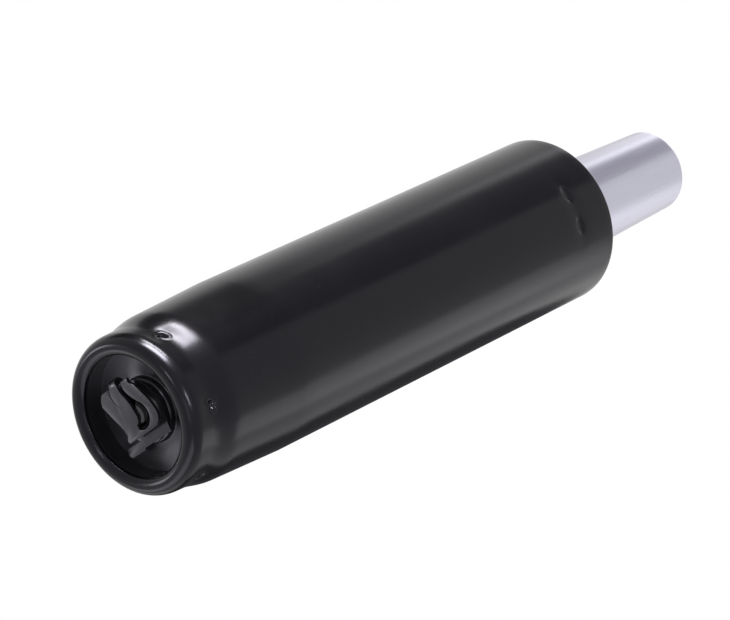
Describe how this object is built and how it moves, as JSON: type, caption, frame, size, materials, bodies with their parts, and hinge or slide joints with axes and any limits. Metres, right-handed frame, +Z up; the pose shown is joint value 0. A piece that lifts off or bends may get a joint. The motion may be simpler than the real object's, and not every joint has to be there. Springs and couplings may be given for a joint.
{
  "type": "chair gas lift cylinder",
  "caption": "Gas lift for an office chair: a black steel column with a tapered, rolled foot, and a ground steel pressure tube with a seat cone that slides up and turns in it.",
  "frame": {"origin": "centre of the flat face of the column's rolled bottom rim", "axes": "+Z up the column's axis towards the seat cone; +X and +Y square to it; the clip's long side lies 24.5 degrees clockwise from +X seen from above"},
  "size_m": [0.05, 0.05, 0.247],
  "materials": {
    "column_paint": "satin black powder coat",
    "dark_steel": "satin black paint over pressed steel",
    "spring_steel": "blackened spring steel",
    "cone_steel": "fine ground, satin",
    "ground_steel": "ground and polished",
    "bearing_steel": "ground",
    "plain_steel": "turned, plain",
    "brass": "turned",
    "aluminium": "turned",
    "rubber": "moulded, matt",
    "black_plastic": "moulded",
    "pale_plastic": "moulded"
  },
  "bodies": {
    "column": {"outer_column": "column_paint", "base_plate": "dark_steel", "guide_sleeve": "black_plastic", "lower_race": "bearing_steel"},
    "bearing": {"bearing_cage": "brass", "bearing_balls": "bearing_steel"},
    "rod": {"piston_rod": "ground_steel", "upper_race": "bearing_steel", "rubber_buffer": "rubber", "clip_washer": "dark_steel", "retaining_clip": "spring_steel", "piston_washer": "bearing_steel", "piston": "aluminium", "piston_ring": "rubber"},
    "cylinder": {"pressure_tube": "cone_steel", "end_cap": "plain_steel", "guide_bush": "brass", "rod_seal": "rubber", "stop_ring": "pale_plastic", "inner_cylinder": "plain_steel", "valve_body": "brass", "body_seal": "rubber", "pin_seals": "rubber", "seal_spacer": "pale_plastic", "button_plug": "plain_steel"},
    "button": {"valve_pin": "ground_steel", "release_button": "ground_steel"}
  },
  "joints": [
    {"name": "swivel", "type": "hinge", "parent": "column", "child": "rod", "pos_m": [0, 0, 0.0129], "axis": [0, 0, 1], "continuous": true},
    {"name": "cage_turn", "type": "hinge", "parent": "column", "child": "bearing", "pos_m": [0, 0, 0.0129], "axis": [0, 0, 1], "continuous": true},
    {"name": "lift", "type": "slide", "parent": "rod", "child": "cylinder", "axis": [0, 0, 1], "range_m": [0, 0.065]},
    {"name": "button_press", "type": "slide", "parent": "cylinder", "child": "button", "axis": [0, 0, -1], "range_m": [0, 0.003], "stiffness_N_per_m": 4000}
  ],
  "couplings": [
    {"joint": "cage_turn", "follows": "swivel", "ratio": 0.5}
  ]
}
